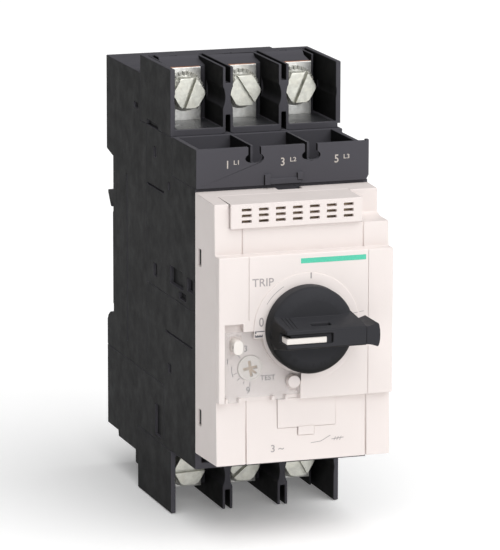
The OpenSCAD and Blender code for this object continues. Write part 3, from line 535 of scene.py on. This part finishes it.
def terminal_screws(node, z, slot_angles):
    """Three hexagon screws, each with its slot left at its own angle."""
    head_d = depth_of(node)[1]
    shank_d = head_d - 1.5
    shank = [(0, SHANK_END_D), (SHANK_R, SHANK_END_D), (SHANK_R, shank_d), (0, shank_d)]
    bm = bmesh.new()
    slots = bmesh.new()
    for x, slot_angle in zip(POLES, slot_angles):
        hex_head_into(bm, x, z, SCREW_R, (head_d - SCREW_HEAD_H, head_d))
        turned_into(bm, x, z, shank, 24)
        blade = slab_into(slots, (-7, 7), (head_d - SLOT_DEPTH, head_d + 1), (-SLOT_HALF, SLOT_HALF))
        turn = Matrix.Rotation(-math.radians(slot_angle), 4, "Y")
        place = Matrix.Translation((x * MM, 0, z * MM)) @ turn
        bmesh.ops.transform(slots, matrix=place, verts=blade)
    piece = from_bmesh(node + "_detailed", bm, "root", SCREW)
    cut_away(piece, slots, node + "_slots")
    smooth_by_angle(piece, 20)
    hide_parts(node)


def spring_washers(node, z):
    """Split washers: a square wire wound almost once round, its ends a little apart."""
    rear, front = depth_of(node)
    wire = 0.85
    inner, outer = 3.25, 4.65
    first_end, wound = 58, 346
    steps = 60
    bm = bmesh.new()
    for x in POLES:
        rings = []
        for k in range(steps + 1):
            part = k / steps
            turn = math.radians(first_end + wound * part)
            low = rear + 0.02 + (front - rear - wire - 0.04) * part
            section = ((inner, low), (outer, low + 0.05), (outer + 0.05, low + wire - 0.1),
                       (outer - 0.05, low + wire), (inner, low + wire))
            rings.append([bm.verts.new(at(x + r * math.cos(turn), d, z + r * math.sin(turn)))
                          for r, d in section])
        for one, two in zip(rings, rings[1:]):
            bridge(bm, one, two)
        bm.faces.new(rings[0])
        bm.faces.new(list(reversed(rings[-1])))
    piece = from_bmesh(node + "_detailed", bm, "root", WASHER)
    smooth_by_angle(piece, 35)
    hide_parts(node)


def toothed_washers(node, z):
    """Lock washers with a ring of twisted teeth round a flat middle."""
    rear, front = depth_of(node)
    teeth = 26
    hole_r, flat_r, root_r = 3.2, 5.1, 4.9
    back, face = rear + 0.1, front - 0.1
    flat = [(hole_r, back), (flat_r, back), (flat_r, face), (hole_r, face)]
    half = 0.085
    section = ((-half, rear), (half, rear + 0.35), (half, front + 0.25), (-half, front - 0.25))
    bm = bmesh.new()
    for x in POLES:
        turned_into(bm, x, z, flat, teeth * 3)
        for k in range(teeth):
            middle = 2 * math.pi * (k + 0.5) / teeth
            rings = []
            for radius in (root_r, TOOTH_R):
                ring = []
                for turn, d in section:
                    angle = middle + turn
                    place = at(x + radius * math.cos(angle), d, z + radius * math.sin(angle))
                    ring.append(bm.verts.new(place))
                rings.append(ring)
            bridge(bm, rings[0], rings[1])
            bm.faces.new(rings[0])
            bm.faces.new(list(reversed(rings[1])))
    piece = from_bmesh(node + "_detailed", bm, "root", WASHER)
    smooth_by_angle(piece, 30)
    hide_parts(node)


def strap_cut_edges():
    """The line straps' sheared upper edges, where the copper shows under the tin."""
    top = height_of("line_conductors")[1]
    half_w = 5.2
    bm = bmesh.new()
    for x in POLES:
        slab_into(bm, (x - half_w, x + half_w), (STRAP_D - 1.75, STRAP_D - 0.2), (top - 0.1, top + 0.06))
    cut_edge = from_bmesh("line_strap_cut_edges", bm, "root", COPPER)
    round_edges(cut_edge, 0.04, 2)


def bay_floors():
    """The polished floors of the line bays, which mirror the straps."""
    wall = 2.0
    half_w, front_d = 7.0, 67.6
    floor_z = height_of("line_terminal_shroud")[0] + wall
    bm = bmesh.new()
    for x in POLES:
        slab_into(bm, (x - half_w, x + half_w), (STRAP_D + 0.4, front_d), (floor_z - 0.3, floor_z + 0.04))
    floors = from_bmesh("line_bay_floors", bm, "root", GLOSSY)
    round_edges(floors, 0.04, 2)


def pocket_outline():
    """The window's pocket in the plate: its corner, less the collar and the padlock mark's patch."""
    spare = 0.15
    left, right = width_of("dial_window")[0] - spare, width_of("dial_window")[1] + spare
    high, low = height_of("dial_window")[1] + spare, PLATE_LOW_Z - 1
    step_x, step_z = -19.8, 0.55
    mark_x, mark_z = -16.55, -4.05
    radius = COLLAR_R - spare
    start = math.degrees(math.atan2(-math.sqrt(radius ** 2 - right ** 2), right))
    stop = -180 + math.degrees(math.asin((HANDLE_Z - mark_z) / radius))
    arc = arc_points(0, HANDLE_Z, radius, start, stop, 24)
    return [(left, low), (right, low), *arc, (mark_x, mark_z), (mark_x, high), (step_x, high),
            (step_x, step_z), (left, step_z)]


def fascia():
    """Raised plate with the window's pocket and hinge lugs, the knob's low disc and two lines."""
    node = "control_fascia"
    (x0, x1), (z0, z1) = width_of(node), height_of(node)
    back_d = depth_of(node)[0]
    bm = bmesh.new()
    slab_into(bm, (x0, x1), (back_d, PLATE_D), (z0, z1))
    plate = from_bmesh("control_fascia_plate", bm, "root", CREAM)
    round_edges(plate, 0.35, 4)
    plate.modifiers.remove(plate.modifiers["flat_normals"])
    lines = bmesh.new()
    for (left, right), bottom in (((-18.22, -17.98), 1.5), ((19.48, 19.72), z0 - 1)):
        slab_into(lines, (left, right), (PLATE_D - 0.25, PLATE_D + 2), (bottom, z1 + 1))
    cut_away(plate, lines, "fascia_lines")
    disc_bm = bmesh.new()
    foot_d, top_d = PLATE_D - 0.6, PLATE_D + RING_T
    turned_into(disc_bm, 0, HANDLE_Z, [
        (0, foot_d), (RING_R, foot_d), (RING_R, top_d - 0.14), (RING_R - 0.06, top_d - 0.05),
        (RING_R - 0.18, top_d), (0, top_d)], 128)
    disc = from_bmesh("control_fascia_ring", disc_bm, "root", CREAM)
    for piece in (plate, disc):
        pocket = bmesh.new()
        prism_into(pocket, pocket_outline(), (POCKET_D, PLATE_D + 3))
        cut_away(piece, pocket, piece.name + "_pocket")
        cut_away(piece, fascia_holes(), piece.name + "_holes")
        smooth_by_angle(piece, 25)
        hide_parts(node)
    lug_apart, lug_half = 2.1, 0.4
    lugs = bmesh.new()
    for x in HINGE_X:
        for middle in (x - lug_apart, x + lug_apart):
            slab_into(lugs, (middle - lug_half, middle + lug_half), (POCKET_D - 0.2, HINGE_D),
                      (z0 + 0.02, HINGE_Z + 0.7))
    hinge_lugs = from_bmesh("control_fascia_lugs", lugs, "root", CREAM)
    round_edges(hinge_lugs, 0.15, 3)


def fascia_holes():
    """What is drilled through the plate for the handle's shaft, the dial and the button."""
    holes = ((0, HANDLE_Z, 4.3), (DIAL_X, DIAL_Z, DIAL_R + 0.12), (TEST_X, TEST_Z, 2.02))
    start_d, end_d = DIAL_BACK_D, PLATE_D + 4
    cutter = bmesh.new()
    for x, z, radius in holes:
        turned_into(cutter, x, z, [(0, start_d), (radius, start_d), (radius, end_d), (0, end_d)], 48)
    return cutter


def vent_cover():
    """Cover of the add-on slot: a front with three rows of seven slots, on a shallow open box."""
    node = "aux_slot_cover"
    (x0, x1), (z0, top), (d0, d1) = width_of(node), height_of(node), depth_of(node)
    z1 = VENT_TOP_Z
    column, row = 5.35, 1.75
    holes_x = [(x0 + 3.4 + column * k, x0 + 6.5 + column * k) for k in range(7)]
    holes_z = [(z0 + 1.6 + row * k, z0 + 2.45 + row * k) for k in range(3)]
    bm = bmesh.new()
    pierced_plate(bm, (x0, x1), (z0, z1), holes_x, holes_z, (d1 - 1.5, d1))
    piece = from_bmesh("aux_slot_cover_front", bm, "root", CREAM)
    round_edges(piece, 0.12, 3)
    walls = bmesh.new()
    back = (d0, d1 - 1.55)
    slab_into(walls, (x0 + 0.05, x0 + 1.3), back, (z0 + 0.05, z1 - 0.05))
    slab_into(walls, (x1 - 1.3, x1 - 0.05), back, (z0 + 0.05, z1 - 0.05))
    slab_into(walls, (x0 + 0.05, x1 - 0.05), back, (z0 + 0.02, z0 + 1.2))
    lid = slab_into(walls, (x0 + 0.05, x1 - 0.05), back, (z1 - 1.3, z1 - 0.05))
    for vert in lid:
        if vert.co.z > (z1 - 0.5) * MM and vert.co.y > (REAR_Y - (d0 + 1) * MM):
            vert.co.z = top * MM
    box = from_bmesh("aux_slot_cover_box", walls, "root", CREAM)
    box.data.shade_flat()
    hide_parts(node)
    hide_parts(node)
    plate = bmesh.new()
    slab_into(plate, (x0 + 1.4, x1 - 1.4), (d1 - 3.6, d1 - 3.0), (z0 + 1.3, z1 - 1.4))
    baffle = from_bmesh("aux_slot_baffle", plate, "root", TAN)
    round_edges(baffle, 0.2, 2)


def pierced_plate(bm, x, z, holes_x, holes_z, d):
    """Plate with a rectangular hole at every crossing of holes_x and holes_z, all in quads."""
    xs = sorted({x[0], x[1], *(edge for hole in holes_x for edge in hole)})
    zs = sorted({z[0], z[1], *(edge for hole in holes_z for edge in hole)})
    grid = [[[bm.verts.new(at(px, depth, pz)) for pz in zs] for px in xs] for depth in d]

    def walls_round(loop):
        """Joins the two faces of the plate along a closed loop of grid crossings."""
        for (a, b), (c, e) in zip(loop, loop[1:] + loop[:1]):
            bm.faces.new([grid[0][a][b], grid[0][c][e], grid[1][c][e], grid[1][a][b]])

    for i in range(len(xs) - 1):
        for k in range(len(zs) - 1):
            if (xs[i], xs[i + 1]) in holes_x and (zs[k], zs[k + 1]) in holes_z:
                walls_round(((i, k), (i + 1, k), (i + 1, k + 1), (i, k + 1)))
                continue
            for layer in grid:
                bm.faces.new([layer[i][k], layer[i + 1][k], layer[i + 1][k + 1], layer[i][k + 1]])
    last_x, last_z = len(xs) - 1, len(zs) - 1
    lower = [(i, 0) for i in range(last_x + 1)]
    right = [(last_x, k) for k in range(1, last_z + 1)]
    upper = [(i, last_z) for i in range(last_x - 1, -1, -1)]
    left = [(0, k) for k in range(last_z - 1, 0, -1)]
    walls_round(lower + right + upper + left)


def dial():
    """Setting dial: a rimmed disc with a cross recess, one arm of it an arrow, over a tan floor."""
    rear, front = depth_of("current_dial")
    stem, rim, flange = 1.5, DIAL_R, DIAL_R + 0.85
    flange_d = DIAL_BACK_D + 1.5
    bm = bmesh.new()
    turned_into(bm, DIAL_X, DIAL_Z, [
        (0, rear), (stem, rear), (stem, DIAL_BACK_D), (flange, DIAL_BACK_D), (flange, flange_d),
        (rim, flange_d + 0.1), (rim, front - 0.15), (rim - 0.15, front), (rim - 0.45, front),
        (rim - 0.6, front - 0.2), (0, front - 0.2)])
    disc = from_bmesh("current_dial_detailed", bm, "dial", WHITE)
    recess = bmesh.new()
    dial_cross_into(recess, (front - 1.1, front + 1), 0)
    cut_away(disc, recess, "dial_recess")
    smooth_by_angle(disc, 30)
    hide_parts("current_dial")
    floor = bmesh.new()
    dial_cross_into(floor, (front - 1.12, front - 0.75), 0.03)
    recess_floor = from_bmesh("current_dial_recess_floor", floor, "dial", TAN)
    recess_floor.data.shade_flat()


def dial_cross_into(bm, d, inset):
    """Adds the dial's cross, a little turned: four arms, the lower one longer and with a barb."""
    arm, half = 2.3 - inset, 0.5 - inset
    outline = [
        (half, half), (half, arm), (-half, arm), (-half, half), (-arm, half), (-arm, -half),
        (-half, -half), (-half, -arm - 0.3), (half, -arm - 0.3), (half, -1.3),
        (1.5 - inset, -2.2), (1.9 - inset, -1.7), (0.75, -half), (arm, -half), (arm, half)]
    tilt = math.radians(8)
    turned = [(px * math.cos(tilt) - pz * math.sin(tilt), px * math.sin(tilt) + pz * math.cos(tilt))
              for px, pz in outline]
    prism_into(bm, [(DIAL_X + px, DIAL_Z + pz) for px, pz in turned], d)


def prism_into(bm, outline, d):
    """Adds a flat outline of (x, z) points as a plate between two depths."""
    near = [bm.verts.new(at(px, d[1], pz)) for px, pz in outline]
    far = [bm.verts.new(at(px, d[0], pz)) for px, pz in outline]
    bridge(bm, near, far)
    bm.faces.new(near)
    bm.faces.new(list(reversed(far)))


def knob_details():
    """Three small ribs on each flank of the grip, at its index end."""
    first_x, rib_step = -10.2, 1.1
    foot_d, foot_half, top_d, top_half = 119, 5.4, 132.2, 2.9
    section = ((-0.22, -0.15), (0, 0.2), (0.22, -0.15))
    bm = bmesh.new()
    for k in range(3):
        x = first_x + rib_step * k
        for side in (1, -1):
            rib = []
            for d in (119.5, 131.2):
                half = foot_half + (top_half - foot_half) * (d - foot_d) / (top_d - foot_d)
                z = HANDLE_Z + side * half
                rib.append([bm.verts.new(at(x + dx, d, z + side * dz)) for dx, dz in section])
            bridge(bm, rib[0], rib[1])
            bm.faces.new(rib[0])
            bm.faces.new(list(reversed(rib[1])))
    ribs = from_bmesh("grip_ribs", bm, "handle", KNOB)
    smooth_by_angle(ribs, 50)


# ---------------------------------------------------------------- printing

def printed(name, words, x, z, size, d, ink, width=1.0, weight=0.014):
    """Words on a forward-facing surface; (x, z) is the line's middle, and size its capitals' height."""
    thick = 0.012
    curve = bpy.data.curves.new(name, "FONT")
    curve.body = words
    curve.size = size * MM * 1.38
    curve.align_x = "CENTER"
    curve.align_y = "CENTER"
    curve.extrude = thick * MM
    curve.resolution_u = 4
    curve.offset = size * MM * weight
    lettering = bpy.data.objects.new(name, curve)
    bpy.context.scene.collection.objects.link(lettering)
    bpy.context.view_layer.update()
    graph = bpy.context.evaluated_depsgraph_get()
    mesh = bpy.data.meshes.new_from_object(lettering.evaluated_get(graph))
    bpy.data.objects.remove(lettering)
    bpy.data.curves.remove(curve)
    mesh.transform(
        Matrix.Translation(at(x, d + thick, z))
        @ Matrix.Rotation(math.radians(90), 4, "X")
        @ Matrix.Diagonal((width, 1, 1, 1)))
    mesh.name = name
    add_piece(name, mesh, "root", ink)


def line_into(bm, points, width, d):
    """Adds a drawn line through (x, z) points, as a thin raised strip."""
    near, far = [], []
    for k, (x, z) in enumerate(points):
        before, after = points[max(k - 1, 0)], points[min(k + 1, len(points) - 1)]
        along = Vector((after[0] - before[0], after[1] - before[1])).normalized()
        side = Vector((-along.y, along.x)) * width / 2
        near.append((x + side.x, z + side.y))
        far.append((x - side.x, z - side.y))
    prism_into(bm, near + far[::-1], (d - 0.005, d + 0.025))


def arc_points(x, z, radius, start, stop, steps=12):
    """Points along an arc from start to stop degrees, 0 being +X."""
    angles = [math.radians(start + (stop - start) * k / steps) for k in range(steps + 1)]
    return [(x + radius * math.cos(a), z + radius * math.sin(a)) for a in angles]


def front_markings():
    """Generic markings on the plate, the dial's scale and the lower cover."""
    ring_d = PLATE_D + RING_T
    printed("mark_trip", "TRIP", -13.7, 12.7, 2.5, PLATE_D, GREY_INK)
    printed("mark_off", "0", -14.3, 0.7, 2.8, ring_d, GREY_INK, width=0.85)
    for name, words, x, z, size in (
            ("mark_test", "TEST", -11.4, -16.9, 1.6),
            ("scale_high", "13", -19.0, -7.6, 1.9),
            ("scale_middle", "11", -24.6, -11.2, 1.6),
            ("scale_low", "9", -17.6, -20.4, 2.0)):
        printed(name, words, x, z, size, POCKET_D + 0.04, SCALE_INK, weight=0.022)
    printed("mark_poles", "3 ~", -8.3, -39.0, 2.3, lower_cover_d(-40.2), GREY_INK)
    grey = bmesh.new()
    line_into(grey, [(1.3, 13.2), (1.3, 15.0)], 0.42, ring_d)
    line_into(grey, arc_points(0, HANDLE_Z, 14.75, 148.5, 119.5), 0.16, ring_d)
    line_into(grey, [(14.2, 1.7), (16.1, 1.9)], 0.16, ring_d)
    line_into(grey, [(16.8, 1.95), (18.2, 2.1)], 0.16, PLATE_D)
    scale = bmesh.new()
    scale_into(scale)
    line_marks = (("scale_lines", scale, SCALE_INK), ("printed_lines", grey, GREY_INK))
    contact_symbol_into(grey)
    for name, bm, ink in line_marks:
        from_bmesh(name, bm, "root", ink).data.shade_flat()
    dark = bmesh.new()
    padlock_mark_into(dark, (ring_d, ring_d + INK_T))
    from_bmesh("padlock_mark", dark, "root", DARK_INK).data.shade_flat()
    teal = bmesh.new()
    slab_into(teal, (-1.8, 18.8), (PLATE_D, PLATE_D + INK_T), (17.85, 19.4))
    from_bmesh("teal_stripe", teal, "root", TEAL_INK).data.shade_flat()


def scale_into(bm):
    """Adds the dial's scale: a short line at each setting, and a short arc on its left."""
    start, width = DIAL_R + 0.45, 0.24
    for degrees, reach in ((133, 1.5), (198, 1.1), (222, 1.0), (246, 0.9), (270, 1.5)):
        turn = math.radians(degrees)
        ends = [(DIAL_X + r * math.cos(turn), DIAL_Z + r * math.sin(turn)) for r in (start, start + reach)]
        line_into(bm, ends, width, POCKET_D)
    line_into(bm, arc_points(DIAL_X, DIAL_Z, DIAL_R + 1.9, 172, 205, 8), width, POCKET_D)


def padlock_mark_into(bm, d):
    """Adds the small padlock mark: a hooked line over a toothed bar."""
    left = -16.3
    slab_into(bm, (left, -13.3), d, (-2.1, -1.85))
    slab_into(bm, (left, left + 0.4), d, (-2.6, -2.1))
    slab_into(bm, (left, -13.9), d, (-3.75, -3.25))
    for k in range(4):
        slab_into(bm, (left + 0.7 * k, left + 0.3 + 0.7 * k), d, (-3.25, -2.95))


def contact_symbol_into(bm):
    """Adds the circuit symbol of a contact that opens, with its pole strokes."""
    face_d = lower_cover_d(-38.0)
    line_into(bm, [(2.4, -38.0), (5.6, -37.7)], 0.2, face_d)
    line_into(bm, [(5.6, -37.7), (8.6, -36.1)], 0.2, face_d)
    line_into(bm, [(9.0, -37.3), (12.9, -37.0)], 0.2, face_d)
    for x in (10.0, 10.9, 11.8):
        line_into(bm, [(x - 0.25, -37.8), (x + 0.3, -36.6)], 0.16, face_d)


def terminal_labels():
    """Terminal numbers and names printed on the label box, a pair for each pole."""
    for k, (digit_x, label_x) in enumerate(((-17.6, -14.7), (-0.1, 3.2), (17.1, 20.3))):
        pole = k + 1
        digit, label = str(2 * k + 1), f"L{pole}"
        printed(f"terminal_digit_{pole}", digit, digit_x, 44.6, 2.5, LABEL_D, WHITE_INK, width=0.9)
        printed(f"terminal_name_{pole}", label, label_x, 45.2, 1.35, LABEL_D, WHITE_INK, width=1.15)


# ---------------------------------------------------------------- scene

def camera():
    """Long lens from the front left and above."""
    target = at(7.77, 39.27, -1.57)
    place = at(-425.93, 1338.99, 285.91)
    roll = math.radians(0.12)
    data = bpy.data.cameras.new("camera")
    data.lens = 290.6
    data.sensor_width = 36
    data.clip_end = 20
    made = bpy.data.objects.new("camera", data)
    bpy.context.scene.collection.objects.link(made)
    look = (target - place).to_track_quat("-Z", "Y").to_matrix().to_4x4()
    made.matrix_world = Matrix.Translation(place) @ look @ Matrix.Rotation(roll, 4, "Z")
    bpy.context.scene.camera = made


def softbox(name, place, target, size, power):
    """White rectangle of light, in metres and watts, facing a target."""
    data = bpy.data.lights.new(name, "AREA")
    data.shape = "RECTANGLE"
    data.size, data.size_y = size
    data.energy = power
    made = bpy.data.objects.new(name, data)
    bpy.context.scene.collection.objects.link(made)
    made.location = place
    made.rotation_euler = (Vector(target) - Vector(place)).to_track_quat("-Z", "Y").to_euler()


def sun(name, direction, strength, spread):
    """Even light from one direction, softened over a wide angle."""
    data = bpy.data.lights.new(name, "SUN")
    data.energy = strength
    data.angle = math.radians(spread)
    made = bpy.data.objects.new(name, data)
    bpy.context.scene.collection.objects.link(made)
    made.rotation_euler = (-Vector(direction)).to_track_quat("-Z", "Y").to_euler()


def studio():
    """Pale floor under the lowest edge, a dim room, a wide light above and a front soft box."""
    gap = 0.2 * MM
    floor_z = min(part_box(node)[0].z for node in frame["nodes"]) - gap
    bm = bmesh.new()
    bmesh.ops.create_grid(bm, x_segments=1, y_segments=1, size=6.0)
    mesh = bpy.data.meshes.new("floor")
    bm.to_mesh(mesh)
    bm.free()
    floor = bpy.data.objects.new("floor", mesh)
    floor.location.z = floor_z
    mesh.materials.append(floor_paint())
    bpy.context.scene.collection.objects.link(floor)

    world = bpy.data.worlds.new("room")
    world.use_nodes = True
    background = world.node_tree.nodes["Background"]
    background.inputs["Color"].default_value = (1.0, 1.0, 1.0, 1)
    background.inputs["Strength"].default_value = 0.22
    bpy.context.scene.world = world
    sun("sky_panel", (0.2, -0.56, 1.0), 2.85, 80)
    softbox("front_panel", (0.35, -1.6, 0.35), (0, 0, 0), (0.7, 0.9), 4.6)
    view = bpy.context.scene.view_settings
    view.view_transform = "Standard"
    view.look = "None"
    view.exposure = 0.0


camera()
studio()

for name in ("rear_base", "load_base", "contact_case", "trip_case", "line_terminal_shroud",
             "load_terminal_shroud"):
    moulding(name, BLACK, 0.25)
moulding("label_box", BLACK, 0.15)
moulding("front_cover", CREAM, 0.3)
fascia()
vent_cover()
moulding("marker_plate", CREAM, 0.12)
moulding("test_button", CREAM, 0.2)
moulding("rotary_handle", KNOB, 0.4)
moulding("padlock_tongue", KNOB, 0.3)
knob_details()
moulding("dial_window", CLEAR, 0.12)
moulding("seal_post", WHITE, 0.3)
dial()
moulding("handle_pointer", WHITE, 0.25)
terminal_screws("line_terminal_screws", LINE_Z, (69, 123, 67))
terminal_screws("load_terminal_screws", LOAD_Z, (2, 40, 118))
for side, height in (("line", LINE_Z), ("load", LOAD_Z)):
    spring_washers(side + "_spring_washers", height)
    toothed_washers(side + "_flat_washers", height)
moulding("line_conductors", TINNED, 0.2)
moulding("load_conductors", TINNED, 0.2)
strap_cut_edges()
bay_floors()
moulding("rail_clip", BLACK, 0.25)
front_markings()
terminal_labels()

PLAIN = {
    PLATED: ("line_clamp_nuts", "load_clamp_nuts", "handle_shaft", "test_lever", "test_spring",
             "rail_clip_spring", "plungers", "plunger_springs", "contact_springs", "main_spring",
             "case_screws", "magnetic_yokes", "mechanism_frame", "toggle_crank", "toggle_link",
             "trip_latch", "arc_chute_plates"),
    WHITE: ("contact_carrier", "trip_bar"),
    COPPER: ("contact_bridges", "coil_leads", "magnetic_coils", "heater_straps"),
    BRASS: ("dial_cam", "bimetals"),
    SILVER: ("fixed_contact_tips", "moving_contact_tips"),
    FIBRE: ("arc_chute_frames",),
}
for material, names in PLAIN.items():
    for name in names:
        finish_node(name, material)
